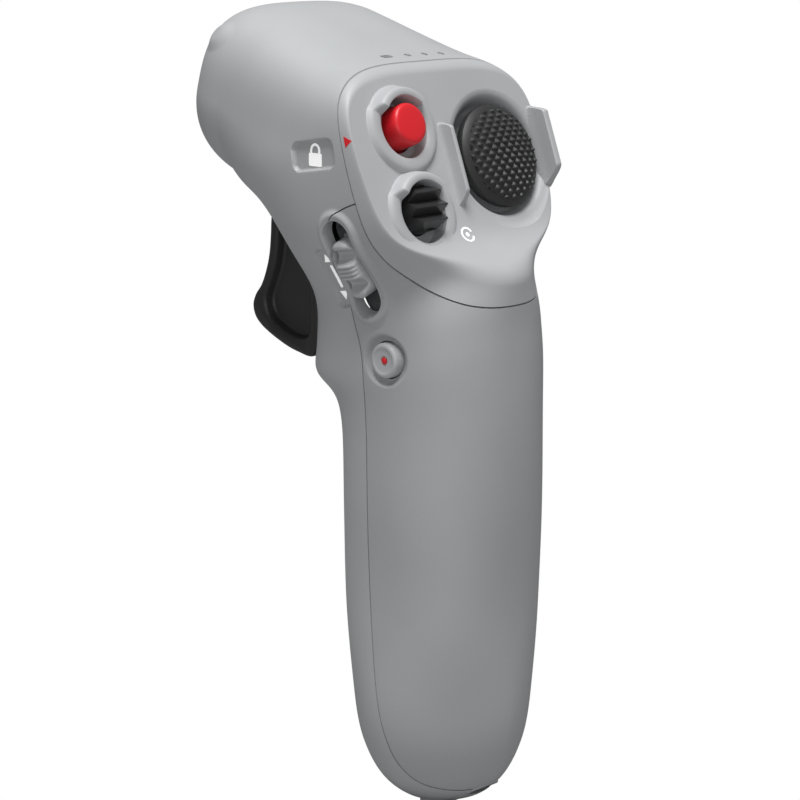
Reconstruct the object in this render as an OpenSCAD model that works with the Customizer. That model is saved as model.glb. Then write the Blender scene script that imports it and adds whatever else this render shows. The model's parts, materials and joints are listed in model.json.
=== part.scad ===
// One-hand motion controller for a small aircraft: a pistol grip under a rounded
// head, with a tilted thumb face, a finger trigger and side controls.
// +X is the user's right, +Y points forward out of the nose, +Z is up the grip.
// The origin is on the flat face of the port bezel, under the grip.

/* [Body] */
// Height of the lowest full section of the grip
base_z = 24; // [23:0.5:25]
// Half width of the grip at its lowest full section
grip_half_w = 19.5; // [18.5:0.5:20]
// Half width of the head at the thumb face
head_half_w = 27.5; // [26.5:0.5:28]
// Depth of the rounded lower end of the grip
base_dome = 24.2; // [23.5:0.1:24.3]
// Depth of the rounded nose
nose_dome = 17.5; // [15:0.5:18]
// Wall thickness of the shells
wall = 2; // [1.6:0.1:2.2]
// Gap left at each joint line between shells
seam_gap = 0.1; // [0.05:0.01:0.2]

/* [Thumb face] */
// Lean of the thumb face from upright, in degrees
face_tilt = 20; // [18:1:22]
// Height at which the thumb ledge begins, measured up the face
ledge_v = 16.3; // [15.5:0.1:17]
// Rounding of the edge of the face
face_round = 3.9; // [3:0.1:4.5]
// Place of the lock button on the face, right and up
lock_uv = [-12.6, 41.1];
// Place of the mode button on the face, right and up
mode_uv = [-13.1, 24.3];
// Place of the joystick on the face, right and up
stick_uv = [13.1, 33.2];
// Radius of the recess round the joystick
dish_r = 13.2; // [13:0.1:13.4]
// Radius of the joystick cap
cap_r = 10.7; // [10:0.1:10.8]
// Depth of the joystick pivot behind the face
stick_depth = 8; // [7.5:0.1:8]
// Radius of the red lock button
lock_r = 4.3; // [4:0.1:4.4]
// Radius of the ridged mode button
mode_r = 4.6; // [4.2:0.1:4.7]
// Outer radius of the raised collars round the two buttons
collar_r = 8.6; // [8.2:0.1:8.8]

/* [Side controls] */
// Centre of the tilt slider on the left side
slider_at = [-23.4, 3.7, 116.6];
// Lean of the slider out of the vertical, seen from behind
slider_tilt = 20; // [18:1:22]
// Lean of the slider, seen from the left
slider_lean = 11; // [8:1:14]
// Length of the slot of the tilt slider
slot_len = 21; // [20:0.5:22]
// Place of the record button on the left side, forward and up
record_yz = [-1, 98.1];
// Radius of the record button
record_r = 3.6; // [3.2:0.1:3.8]
// Place of the power button on the right side, forward and up
power_yz = [-1, 98.1];
// Place of the function dial on the right side, forward and up
dial_yz = [6, 118];
// Radius of the function dial
dial_r = 6; // [5.5:0.1:6.2]

/* [Trigger] */
// Pivot of the trigger, forward and up
pivot_yz = [37, 133];
// Width of the trigger
trigger_w = 14; // [13:0.5:14.5]
// Radius of the trigger pin
pin_r = 1.5; // [1.2:0.1:1.6]

/* [Power] */
// Radius of the battery cell
cell_r = 9.2; // [8.5:0.1:9.2]
// Length of the battery cell
cell_len = 65; // [60:1:66]

/* [Hidden] */
$fn = 40;
SIDES = 32;
STEPS = 3;
DOME_STEPS = 5;
run_fit = 0.05;
slack = 0.3;
slot_half = trigger_w / 2 + 0.7;
screw_r = 0.8;
button_x = 14.7;
SCREWS = [[-7.5, 16], [-7.5, 27], [7.5, 16], [7.5, 27]];

// Stations of the body from the base to the nose. Each is
// [front y, front z, back y, back z, half width, front roundness, back roundness].
STATIONS = [
    [20.5, base_z, -19, base_z + 0.5, grip_half_w, 1.8, 1.7],
    [20.5, 45, -18.5, 45, 18.5, 2.5, 2.4],
    [21, 65, -19.5, 65, 19, 2.4, 2.3],
    [22, 85.5, -20, 85, 19, 2.4, 2.2],
    [28.5, 91, -19.5, 97.5, 19.5, 2.6, 2.4],
    [28.5, 97, -19, 106.5, 19.5, 2.5, 2.3],
    [28, 106.5, -19.5, 119.5, 21, 2.4, 1.7],
    [30.5, 116, -21.5, 131, head_half_w - 1.5, 2.7, 3.7],
    [37, 124, -14.5, 151, head_half_w, 2.8, 4.5],
    [42.5, 127.5, 9.5, 157, head_half_w - 1, 2.7, 3.8],
    [46, 128, 34.5, 165.5, head_half_w - 2.5, 2.1, 3.2]
];

// The thumb face: a point on it, its upward direction and its normal.
face_o = [0, -13.76, 105.46];
face_v = [0, sin(face_tilt), cos(face_tilt)];
face_n = [0, -cos(face_tilt), sin(face_tilt)];
ledge_soft = 3.8;

// ---- body surface -------------------------------------------------------

// Catmull-Rom value between b and c, at t from 0 to 1
function curve(a, b, c, d, t) =
    0.5 * (2 * b + (c - a) * t + (2 * a - 5 * b + 4 * c - d) * t * t
    + (3 * b - a - 3 * c + d) * t * t * t);

function padded(rows) =
    concat([2 * rows[0] - rows[1]], rows, [2 * rows[len(rows) - 1] - rows[len(rows) - 2]]);

// Stations with STEPS - 1 more between each pair
function smooth_rows(rows) =
    let (p = padded(rows), last = len(rows) - 1)
    concat(
        [for (i = [0 : last - 1], j = [0 : STEPS - 1])
            curve(p[i], p[i + 1], p[i + 2], p[i + 3], j / STEPS)],
        [rows[last]]);

// A station drawn in from the surface by d
function inset(row, d) =
    let (dy = row[2] - row[0], dz = row[3] - row[1], l = sqrt(dy * dy + dz * dz))
    [row[0] + d * dy / l, row[1] + d * dz / l, row[2] - d * dy / l, row[3] - d * dz / l,
     row[4] - d, row[5], row[6]];

function signed_pow(c, e) = sign(c) * pow(abs(c), e);

// Smooth cut by the face plane and, below it, by the rising ledge
function face_cut(p, d) =
    let (
        r = p - face_o,
        w = r * face_n,
        x = ledge_v - r * face_v,
        ledge = (x + sqrt(x * x + ledge_soft * ledge_soft)) / 2,
        h = w - ledge + d,
        k = h > face_round ? 0
            : h < -face_round ? h
            : h - (h + face_round) * (h + face_round) / (4 * face_round)
    )
    p + (k - h) * face_n;

// One closed section, scaled by s and moved by shift = [y, z]
function ring(row, s, shift, d) = [
    for (j = [0 : SIDES - 1])
        let (
            a = 360 * j / SIDES,
            n = sin(a) >= 0 ? row[6] : row[5],
            x = row[4] * signed_pow(cos(a), 2 / n) * s,
            t = signed_pow(sin(a), 2 / n) * s
        )
        face_cut([x,
            (row[0] + row[2]) / 2 + (row[2] - row[0]) / 2 * t + shift[0],
            (row[1] + row[3]) / 2 + (row[3] - row[1]) / 2 * t + shift[1]], d)
];

// Rings of the whole body, drawn in by d
function body_rings(d) =
    let (
        rows = [for (r = smooth_rows(STATIONS)) inset(r, d)],
        first = rows[0],
        last = rows[len(rows) - 1],
        dy = last[2] - last[0],
        dz = last[3] - last[1],
        l = sqrt(dy * dy + dz * dz)
    )
    concat(
        [for (i = [DOME_STEPS : -1 : 1])
            let (a = 84 * i / DOME_STEPS)
            ring(first, pow(cos(a), 2 / 2.2), [0, -(base_dome - d) * pow(sin(a), 2 / 2.2)], d)],
        [for (r = rows) ring(r, 1, [0, 0], d)],
        [for (i = [1 : DOME_STEPS])
            let (a = 84 * i / DOME_STEPS, f = (nose_dome - d) * pow(sin(a), 2 / 2.5))
            ring(last, pow(cos(a), 2 / 2.5), [f * dz / l, -f * dy / l], d)]
    );

module solid_body(d = 0) {
    rings = body_rings(d);
    n = len(rings);
    points = [for (r = rings) each r];
    faces = concat(
        [[for (j = [SIDES - 1 : -1 : 0]) j]],
        [for (i = [0 : n - 2], j = [0 : SIDES - 1])
            each [
                [(i + 1) * SIDES + (j + 1) % SIDES, (i + 1) * SIDES + j, i * SIDES + j],
                [i * SIDES + (j + 1) % SIDES, (i + 1) * SIDES + (j + 1) % SIDES, i * SIDES + j]
            ]],
        [[for (j = [0 : SIDES - 1]) (n - 1) * SIDES + j]]
    );
    polyhedron(points, faces, convexity = 6);
}

module body_wall() {
    difference() {
        solid_body();
        solid_body(wall);
    }
}

// ---- joint lines between the shells, seen from the side --------------------

PANEL_LINE = [[-40, 108.6], [-18, 109.2], [-13, 111], [-8, 113.8], [-5, 117], [-3.3, 121.5],
    [1, 136.5], [3.2, 145], [5, 152], [6.2, 155.6], [7.5, 162], [-40, 162]];
REAR_LINE = [[-40, 5.5], [-14, 5.5], [-9, 6], [-5, 8], [-2.2, 12], [-0.3, 18], [1.9, 28],
    [4, 45], [4.4, 68], [4.6, 85], [5, 97.5], [7.2, 107.5], [7.9, 117], [7.5, 123.3],
    [6.2, 126.6], [3.9, 128.4], [-0.4, 130.2], [-40, 130.2]];
SLOT_LINE = [[14, 87], [33, 87], [58, 95], [58, 121], [46.6, 128], [46.6, 134], [30, 134], [14, 112]];

// A side outline drawn through the whole width w, or 80 by default
module side_cut(outline, w = 80) {
    translate([-w / 2, 0, 0])
        rotate([90, 0, 90])
            linear_extrude(w) polygon(outline);
}

module grown_cut(outline) {
    translate([-40, 0, 0])
        rotate([90, 0, 90])
            linear_extrude(80) offset(delta = seam_gap) polygon(outline);
}

// ---- local frames --------------------------------------------------------

// x to the right, y up the face, z out of it
module on_face(uv = [0, 0], w = 0) {
    translate(face_o + uv[0] * [1, 0, 0] + uv[1] * face_v + w * face_n)
        rotate([90 - face_tilt, 0, 0]) children();
}

// y up and z out of the left side
module on_left(yz, x) {
    translate([x, yz[0], yz[1]]) rotate([90, 0, -90]) children();
}

// y up and z out of the right side
module on_right(yz, x) {
    translate([x, yz[0], yz[1]]) rotate([90, 0, 90]) children();
}

// y along the slot and z out of it
module on_slider(y = 0, z = 0) {
    translate(slider_at) rotate([90, 0, -90]) rotate([slider_tilt, 0, 0])
        rotate([0, 0, slider_lean]) translate([0, y, z]) children();
}

module stadium(l, w, h) {
    linear_extrude(h) union() {
        square([w, l - w], center = true);
        for (s = [-1, 1]) translate([0, s * (l - w) / 2]) circle(d = w);
    }
}

// A coil of wire about z, made of straight stretches
module coil(r, wire, turns, height) {
    steps = 12;
    n = steps * turns;
    function at(i, k) =
        let (a = 360 * i / steps, b = 60 * k, q = r + wire * cos(b))
        [q * cos(a), q * sin(a), height * i / n + wire * sin(b)];
    points = [for (i = [0 : n], k = [0 : 5]) at(i, k)];
    faces = concat(
        [[for (k = [0 : 5]) k]],
        [for (i = [0 : n - 1], k = [0 : 5])
            each [
                [i * 6 + k, (i + 1) * 6 + k, (i + 1) * 6 + (k + 1) % 6],
                [i * 6 + k, (i + 1) * 6 + (k + 1) % 6, i * 6 + (k + 1) % 6]
            ]],
        [[for (k = [5 : -1 : 0]) n * 6 + k]]
    );
    polyhedron(points, faces, convexity = 8);
}

// ---- shells ---------------------------------------------------------------

module strap_pocket() {
    translate([-4, -17, 1]) cube([8, 9, 6.2]);
}

module side_holes() {
    on_left(record_yz, -10) cylinder(r = record_r + slack, h = 15);
    on_right(power_yz, 10) cylinder(r = record_r + slack, h = 15);
    on_slider(0, -6) stadium(slot_len, 6.4, 12);
    translate([0, dial_yz[0], dial_yz[1]])
        translate([14, -dial_r - 0.6, -3.2]) cube([20, 2 * dial_r + 1.2, 6.4]);
}

module front_shell() {
    color([0.62, 0.63, 0.64]) difference() {
        body_wall();
        grown_cut(PANEL_LINE);
        grown_cut(REAR_LINE);
        side_cut(SLOT_LINE, 2 * slot_half);
        side_holes();
        translate([0, 0, -1]) rotate([0, 0, 90]) stadium(13.2, 7.2, 8);
        strap_pocket();
        for (x = [-7, -1.1, 3.7, 8.4])
            translate([x, 9.8, 150]) cylinder(r = 0.95, h = 12);
    }
}

module rear_grip_shell() {
    color([0.6, 0.61, 0.62]) difference() {
        intersection() {
            body_wall();
            side_cut(REAR_LINE);
        }
        grown_cut(PANEL_LINE);
        side_holes();
        strap_pocket();
    }
}

module button_collar(uv) {
    on_face(uv, -1.2) cylinder(r = collar_r, h = 2.4);
    on_face(uv, -3.4) cylinder(r = collar_r - 1, h = 3);
    on_face(uv, -3.3) rotate([0, 0, 41])
        rotate_extrude(angle = 102) translate([6, 0]) square([1.6, 6.3]);
}

module button_pit(uv, r) {
    on_face(uv, -2.2) cylinder(r = 6.2, h = 10);
    on_face(uv, -6) cylinder(r = r + slack, h = 10);
}

// A thin wall standing on the face, with sloping ends
module guard_wall(u, v0, v1, h, thick, base) {
    on_face([u, 0], -base) translate([-thick / 2, 0, 0]) rotate([90, 0, 90])
        linear_extrude(thick)
            polygon([[v0, 0], [v0, base], [v0 + 3, h + base], [v1 - 2.4, h + base], [v1, base], [v1, 0]]);
}

module face_panel() {
    color([0.68, 0.69, 0.7]) difference() {
        union() {
            intersection() {
                body_wall();
                side_cut(PANEL_LINE);
            }
            button_collar(lock_uv);
            button_collar(mode_uv);
        }
        button_pit(lock_uv, lock_r);
        button_pit(mode_uv, mode_r);
        on_face(stick_uv, -6) cylinder(r = dish_r + 0.1, h = 8);
        marker_inlay();
    }
}

module port_bezel() {
    color([0.25, 0.25, 0.26]) difference() {
        rotate([0, 0, 90]) stadium(13, 7, 5);
        translate([0, 0, -1]) rotate([0, 0, 90]) stadium(9.3, 3.6, 8);
    }
}

module usb_c_port() {
    color([0.75, 0.76, 0.78]) union() {
        difference() {
            translate([0, 0, 0.6]) rotate([0, 0, 90]) stadium(9.2, 3.5, 8);
            translate([0, 0, 0]) rotate([0, 0, 90]) stadium(8.6, 2.9, 7.4);
        }
        translate([-3.3, -0.35, 1.6]) cube([6.6, 0.7, 6.6]);
    }
}

module lanyard_bar() {
    color([0.5, 0.5, 0.52]) translate([-4.7, -10, 4.9]) rotate([0, 90, 0]) cylinder(r = 0.8, h = 9.4);
}

// ---- inner frame and trigger ------------------------------------------------

module chassis() {
    color([0.2, 0.2, 0.22]) difference() {
        union() {
            for (x = [-10, 8]) translate([x, 0, 0]) rotate([90, 0, 90]) linear_extrude(2)
                polygon([[33.5, 131], [35, 129.6], [39, 129.6], [40.5, 131], [42, 138], [42, 142],
                    [30, 142], [30, 138]]);
            translate([-10, 12, 140]) cube([20, 30, 2]);
            translate([-8, 12, 98]) cube([12, 2, 44]);
        }
        translate([-12, pivot_yz[0], pivot_yz[1]]) rotate([0, 90, 0]) cylinder(r = pin_r, h = 24);
        for (at = SCREWS) translate([at[0], at[1], 139]) cylinder(r = screw_r, h = 4);
    }
}

TRIGGER_OUTLINE = [[33.4, 127.8], [43.6, 127.8], [44.9, 122], [45.2, 117.4], [45.8, 113.5],
    [46.8, 110], [48.4, 106.5], [50.6, 103.6], [51.2, 101.5], [50.8, 99.2], [48.6, 97.3],
    [41.4, 94], [36.8, 92.8], [32.2, 92.4], [31.2, 95], [31, 104], [31.5, 114], [32.6, 122]];
TRIGGER_PANEL = [[34.4, 125], [42, 125], [42.6, 114], [44.6, 108], [46.6, 104], [44, 99],
    [36, 96.4], [34, 96.4], [33.6, 104], [34, 114]];

module trigger() {
    color([0.12, 0.12, 0.13]) difference() {
        union() {
            side_cut(TRIGGER_OUTLINE, trigger_w);
            translate([-4, 0, 0]) rotate([90, 0, 90]) linear_extrude(11)
                polygon([[33.8, 127], [42.6, 127], [40.2, 133], [33.8, 133]]);
            translate([-4, pivot_yz[0], pivot_yz[1]]) rotate([0, 90, 0]) cylinder(r = 3.2, h = 11);
        }
        for (x = [-7.5, 5.6]) translate([x, 0, 0]) rotate([90, 0, 90])
            linear_extrude(1.9) polygon(TRIGGER_PANEL);
        translate([-8, pivot_yz[0], pivot_yz[1]]) rotate([0, 90, 0])
            cylinder(r = pin_r + run_fit, h = 20);
        translate([0, 30.5, 112]) rotate([-90, 0, 0]) cylinder(r = 1.5, h = 2.5);
    }
}

module trigger_pin() {
    color([0.8, 0.8, 0.82]) translate([-10.5, pivot_yz[0], pivot_yz[1]]) rotate([0, 90, 0])
        cylinder(r = pin_r, h = 21);
}

module trigger_spring() {
    color([0.7, 0.7, 0.72]) translate([-7.2, pivot_yz[0], pivot_yz[1]]) rotate([0, 90, 0])
        coil(2.3, 0.3, 3, 2.4);
}

module trigger_magnet() {
    color([0.6, 0.6, 0.62]) translate([0, 31.2, 112]) rotate([-90, 0, 0]) cylinder(r = 1.5, h = 1.8);
}

module hall_sensor_board() {
    color([0.1, 0.35, 0.2]) union() {
        translate([-6, 14, 104]) cube([12, 1, 16]);
        translate([-1.5, 15, 110.5]) cube([3, 1.2, 3]);
    }
}

// ---- thumb buttons -----------------------------------------------------------

module push_button(uv, r, top) {
    on_face(uv) rotate_extrude()
        polygon([[0, -5], [r + 0.9, -5], [r + 0.9, -4.3], [r, -4.3], [r, top - 0.8],
            [r - 0.7, top], [0, top]]);
}

module lock_button() {
    color([0.85, 0.15, 0.18]) push_button(lock_uv, lock_r, 3);
}

module mode_button() {
    color([0.1, 0.1, 0.1]) union() {
        push_button(mode_uv, mode_r, 2.2);
        for (v = [-2.4, 0, 2.4]) on_face(mode_uv + [0, v], 2.2) rotate([0, 90, 0])
            translate([0, 0, -3.2]) linear_extrude(6.4) polygon([[0.3, -0.9], [0.3, 0.9], [-1, 0]]);
    }
}

module tact_switch() {
    translate([-3, -3, 0]) cube([6, 6, 3]);
    translate([0, 0, 3]) cylinder(r = 1.5, h = 0.5);
}

module lock_switch() {
    color([0.3, 0.3, 0.3]) on_face(lock_uv, -10.1) tact_switch();
}

module mode_switch() {
    color([0.3, 0.3, 0.3]) on_face(mode_uv, -10.1) tact_switch();
}

module button_board() {
    color([0.1, 0.35, 0.2]) on_face([-16.2, 21], -11.1) cube([12.2, 26, 1]);
}

// ---- joystick ------------------------------------------------------------------

module on_pivot(z = 0) {
    on_face(stick_uv, z - stick_depth) children();
}

// The floor of the recess behind the hole in the thumb panel, open for the stick
module joystick_well() {
    color([0.66, 0.67, 0.68]) on_face(stick_uv) rotate_extrude()
        polygon([[8.5, -5.2], [11.8, -5.2], [11.8, -3.2], [12.6, -2.6], [12.1, -2.6], [11.3, -3.4],
            [11.3, -4.2], [8.5, -4.2]]);
}

// The fin between the joystick and the buttons, and the ear at the edge of the face
module joystick_guards() {
    color([0.68, 0.69, 0.7]) difference() {
        union() {
            guard_wall(-1.6, 23.7, 41.1, 4, 1.3, 1.6);
            guard_wall(26.2, 25.6, 42.4, 5, 1.6, 5);
        }
        solid_body();
    }
}

module joystick_cap() {
    color([0.15, 0.15, 0.15]) on_pivot() rotate_extrude() polygon([[2.5, 7.1], [9.8, 7.1],
        [cap_r - 0.3, 7.3], [cap_r, 7.8], [cap_r - 0.2, 8.6], [8.5, 9.7], [5.5, 10.5], [0, 11],
        [0, 9], [2.5, 9]]);
}

module joystick_stem() {
    color([0.5, 0.5, 0.5]) union() {
        on_pivot(-2.4) cylinder(r = 2.5, h = 11.4);
        on_pivot() translate([0, 4.4, 0]) rotate([90, 0, 0]) cylinder(r = 0.9, h = 8.8);
    }
}

module joystick_dome() {
    color([0.1, 0.1, 0.1]) on_pivot() difference() {
        sphere(r = 6.3);
        sphere(r = 5.4);
        translate([-8, -8, -10]) cube([16, 16, 13.6]);
        translate([0, 0, -1]) cylinder(r = 2.5, h = 10);
    }
}

module joystick_gimbal() {
    color([0.75, 0.75, 0.75]) difference() {
        union() {
            on_pivot() translate([-4.4, -4.4, -1.5]) cube([8.8, 8.8, 3]);
            on_pivot() rotate([0, 90, 0]) translate([0, 0, -7.4]) cylinder(r = 1, h = 14.8);
        }
        on_pivot() translate([-3.3, -3.3, -3]) cube([6.6, 6.6, 6]);
        on_pivot() translate([0, 6, 0]) rotate([90, 0, 0]) cylinder(r = 0.9 + run_fit, h = 12);
    }
}

module joystick_housing() {
    color([0.25, 0.25, 0.27]) difference() {
        union() {
            on_pivot(-6.5) translate([-8, -8, 0]) cube([16, 16, 6.9]);
            on_pivot(0.3) cylinder(r = 8, h = 1.6);
        }
        on_pivot(-5.5) translate([-6.6, -6.6, 0]) cube([13.2, 13.2, 7]);
        on_pivot(0) cylinder(r = 6.9, h = 4);
        on_pivot() rotate([0, 90, 0]) translate([0, 0, -10]) cylinder(r = 1 + run_fit, h = 20);
    }
}

// ---- side controls ---------------------------------------------------------------

module tilt_slider() {
    color([0.6, 0.61, 0.62]) on_slider() union() {
        translate([-3.6, -6, -5.2]) cube([7.2, 12, 0.9]);
        translate([0, 0, -4.4]) stadium(12.6, 5.6, 4.5);
        for (y = [-1.4, 0, 1.4]) translate([-2.2, y - 0.35, 0]) cube([4.4, 0.7, 0.8]);
        for (s = [-1, 1]) translate([-2.2, s * 5 - 0.6, 0]) cube([4.4, 1.2, 1.2]);
    }
}

module slider_track() {
    color([0.2, 0.2, 0.22]) on_slider() difference() {
        translate([-5, -11.5, -7.6]) cube([10, 23, 2]);
        translate([-1.2, -10.8, -6.6]) cube([2.4, 21.6, 2]);
    }
}

module slider_spring() {
    color([0.7, 0.7, 0.72]) on_slider(-10.4, -5.9) rotate([-90, 0, 0]) coil(0.5, 0.12, 6, 3);
}

module record_button() {
    color([0.62, 0.63, 0.64]) on_left(record_yz, -button_x) difference() {
        union() {
            cylinder(r = record_r + 0.6, h = 0.7);
            cylinder(r = record_r, h = 4.9);
        }
        translate([0, 0, 4.3]) cylinder(r = 0.7, h = 1);
    }
}

module record_dot() {
    color([0.85, 0.15, 0.18]) on_left(record_yz, -button_x) translate([0, 0, 4.3]) cylinder(r = 0.7, h = 0.5);
}

module record_switch() {
    color([0.3, 0.3, 0.3]) on_left(record_yz, -9) union() {
        translate([-4, -5, 0]) cube([8, 10, 1]);
        translate([0, 0, 1]) tact_switch();
    }
}

module power_button() {
    color([0.62, 0.63, 0.64]) on_right(power_yz, button_x) union() {
        cylinder(r = record_r + 0.6, h = 0.7);
        cylinder(r = record_r, h = 4.4);
    }
}

module power_switch() {
    color([0.3, 0.3, 0.3]) on_right(power_yz, 9) union() {
        translate([-4, -5, 0]) cube([8, 10, 1]);
        translate([0, 0, 1]) tact_switch();
    }
}

module on_dial() {
    translate([18.2, dial_yz[0], dial_yz[1]]) children();
}

module function_dial() {
    color([0.15, 0.15, 0.15]) on_dial() difference() {
        translate([0, 0, -2.6]) cylinder(r = dial_r, h = 5.2);
        translate([0, 0, -4]) cylinder(r = 1.2 + run_fit, h = 8);
        for (a = [0 : 20 : 340]) rotate([0, 0, a]) translate([dial_r + 0.25, 0, -4])
            cylinder(r = 0.6, h = 8);
    }
}

module dial_axle() {
    color([0.7, 0.7, 0.72]) on_dial() union() {
        translate([0, 0, -3.4]) cylinder(r = 1.2, h = 6.8);
        translate([-8, -1.3, -3.9]) cube([9.2, 2.6, 0.9]);
        translate([-8, -1.3, 3]) cube([9.2, 2.6, 0.9]);
        translate([-8, -1.3, -3.9]) cube([1.4, 2.6, 7.8]);
    }
}

// ---- electronics -------------------------------------------------------------------

module battery_cell() {
    color([0.2, 0.35, 0.6]) translate([0, 1, 22]) cylinder(r = cell_r, h = cell_len);
}

module battery_holder() {
    color([0.2, 0.2, 0.22]) difference() {
        translate([-11.5, -10.5, 18]) cube([23, 10.5, cell_len + 8]);
        translate([0, 1, 20]) cylinder(r = cell_r + 0.1, h = cell_len + 4);
    }
}

module main_board() {
    color([0.1, 0.35, 0.2]) translate([-10, 13, 26]) cube([20, 1.2, 56]);
}

module shield_can() {
    color([0.75, 0.76, 0.78]) translate([-9, 14.2, 44]) cube([18, 2, 18]);
}

module antenna_boards() {
    color([0.1, 0.35, 0.2]) for (s = [-1, 1]) translate([s * 18 - 0.5, 20, 138]) cube([1, 24, 9]);
}

module light_pipes() {
    color([0.9, 0.9, 0.9]) for (x = [-7, -1.1, 3.7, 8.4])
        translate([x, 9.8, 150.6]) cylinder(r = 0.9, h = 6.1);
}

module light_board() {
    color([0.1, 0.35, 0.2]) translate([-10, 7, 149.4]) cube([22, 7, 1]);
}

module buzzer() {
    color([0.15, 0.15, 0.15]) translate([0, 25, 142.2]) cylinder(r = 5, h = 3);
}

module flex_cable() {
    color([0.75, 0.5, 0.15]) union() {
        translate([-3, 12.3, 82.2]) cube([7, 0.3, 15]);
        translate([-3, 11.4, 97.2]) cube([7, 0.3, 44]);
        translate([-3, 11.4, 97]) cube([7, 1.2, 0.3]);
    }
}

module screws() {
    color([0.6, 0.6, 0.62]) for (at = SCREWS) translate([at[0], at[1], 138.5]) union() {
        cylinder(r = screw_r, h = 3.5);
        translate([0, 0, 3.5]) cylinder(r = screw_r, h = 0.6);
        translate([0, 0, 3.6]) cylinder(r = 1.5, h = 1);
    }
}

module marker_inlay() {
    translate([0.8 - head_half_w, 0.8, 142.4]) rotate([90, 0, -90])
        linear_extrude(0.7) polygon([[-1.1, 0.9], [-0.5, -1.2], [1.1, 0.2]]);
}

module lock_marker() {
    color([0.85, 0.15, 0.18]) marker_inlay();
}

front_shell();
rear_grip_shell();
face_panel();
port_bezel();
usb_c_port();
lanyard_bar();
chassis();
trigger();
trigger_pin();
trigger_spring();
trigger_magnet();
hall_sensor_board();
lock_button();
lock_switch();
mode_button();
mode_switch();
button_board();
joystick_well();
joystick_guards();
joystick_cap();
joystick_stem();
joystick_dome();
joystick_gimbal();
joystick_housing();
tilt_slider();
slider_track();
slider_spring();
record_button();
record_dot();
record_switch();
power_button();
power_switch();
function_dial();
dial_axle();
battery_cell();
battery_holder();
main_board();
shield_can();
antenna_boards();
light_pipes();
light_board();
buzzer();
flex_cable();
screws();
lock_marker();
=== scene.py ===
import json
import math

import bpy
import numpy as np
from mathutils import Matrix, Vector


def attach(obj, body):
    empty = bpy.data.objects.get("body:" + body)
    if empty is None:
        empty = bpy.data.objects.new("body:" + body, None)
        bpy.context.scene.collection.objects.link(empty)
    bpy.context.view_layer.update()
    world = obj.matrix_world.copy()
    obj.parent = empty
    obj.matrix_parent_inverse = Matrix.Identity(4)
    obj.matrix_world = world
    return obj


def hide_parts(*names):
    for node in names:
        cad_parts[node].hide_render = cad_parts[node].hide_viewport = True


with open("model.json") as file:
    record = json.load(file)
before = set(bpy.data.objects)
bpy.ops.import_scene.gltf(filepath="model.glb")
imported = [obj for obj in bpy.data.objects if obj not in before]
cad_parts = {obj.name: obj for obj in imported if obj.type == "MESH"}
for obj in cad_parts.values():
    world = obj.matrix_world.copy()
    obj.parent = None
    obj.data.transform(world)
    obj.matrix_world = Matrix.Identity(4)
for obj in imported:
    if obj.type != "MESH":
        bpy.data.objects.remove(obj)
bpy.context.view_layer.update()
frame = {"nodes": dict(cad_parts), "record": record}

# Lengths below are in millimetres in the frame of the part; MM turns them into metres.
MM = 0.001
X, Y, Z = np.eye(3)
# Keeps points on an axis a little apart, so that no face collapses to nothing.
TINY = 0.004
# The thumb face: its lean, a point on it, its upward direction and its normal.
TILT = math.radians(20)
FACE_O = np.array([0, -13.76, 105.46])
FACE_V = np.array([0, math.sin(TILT), math.cos(TILT)])
FACE_N = np.array([0, -math.cos(TILT), math.sin(TILT)])

# ---- small tools ---------------------------------------------------------------


def smooth(t):
    """A soft step from 0 to 1."""
    t = np.clip(t, 0, 1)
    return t * t * (3 - 2 * t)


def make(name, verts, faces, angle=32):
    """A mesh object from points in mm, shaded smooth with sharp edges over angle degrees."""
    mesh = bpy.data.meshes.new(name)
    verts = np.asarray(verts, float) * MM
    mesh.from_pydata(verts.tolist(), [], [list(map(int, f)) for f in faces])
    mesh.validate()
    mesh.shade_smooth()
    mesh.set_sharp_from_angle(angle=math.radians(angle))
    ob = bpy.data.objects.new(name, mesh)
    bpy.context.scene.collection.objects.link(ob)
    return ob


def grid_faces(n, m):
    """Quads of n rings of m points, closed round, with a cap at each end."""
    i, j = np.meshgrid(np.arange(n - 1), np.arange(m), indexing="ij")
    k = (j + 1) % m
    quads = np.stack([i * m + j, i * m + k, (i + 1) * m + k, (i + 1) * m + j], -1).reshape(-1, 4)
    faces = [list(q) for q in quads]
    faces.append(list(range(m - 1, -1, -1)))
    faces.append(list(range((n - 1) * m, n * m)))
    return faces


def outward(ob):
    """Turns the faces so that the closed mesh has a positive volume."""
    mesh = ob.data
    mesh.calc_loop_triangles()
    co = np.zeros(len(mesh.vertices) * 3)
    mesh.vertices.foreach_get("co", co)
    co = co.reshape(-1, 3)
    tri = np.zeros(len(mesh.loop_triangles) * 3, int)
    mesh.loop_triangles.foreach_get("vertices", tri)
    p = co[tri.reshape(-1, 3)]
    if np.einsum("ij,ij->i", p[:, 0], np.cross(p[:, 1], p[:, 2])).sum() < 0:
        mesh.flip_normals()
    return ob


def rings(name, loops, angle=32):
    """A closed solid through loops of equally many points."""
    loops = np.asarray(loops, float)
    n, m = loops.shape[:2]
    return outward(make(name, loops.reshape(-1, 3), grid_faces(n, m), angle))


def boolean(ob, cutter, operation="DIFFERENCE", drop=True, angle=32):
    """Cuts, joins or intersects ob with the cutter, which is removed unless drop is False."""
    mod = ob.modifiers.new("cut", "BOOLEAN")
    mod.solver = "MANIFOLD"
    mod.operation = operation
    mod.object = cutter
    dg = bpy.context.evaluated_depsgraph_get()
    mesh = bpy.data.meshes.new_from_object(ob.evaluated_get(dg))
    ob.modifiers.clear()
    ob.data = mesh
    mesh.shade_smooth()
    mesh.set_sharp_from_angle(angle=math.radians(angle))
    if drop:
        bpy.data.objects.remove(cutter)
    return ob


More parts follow.
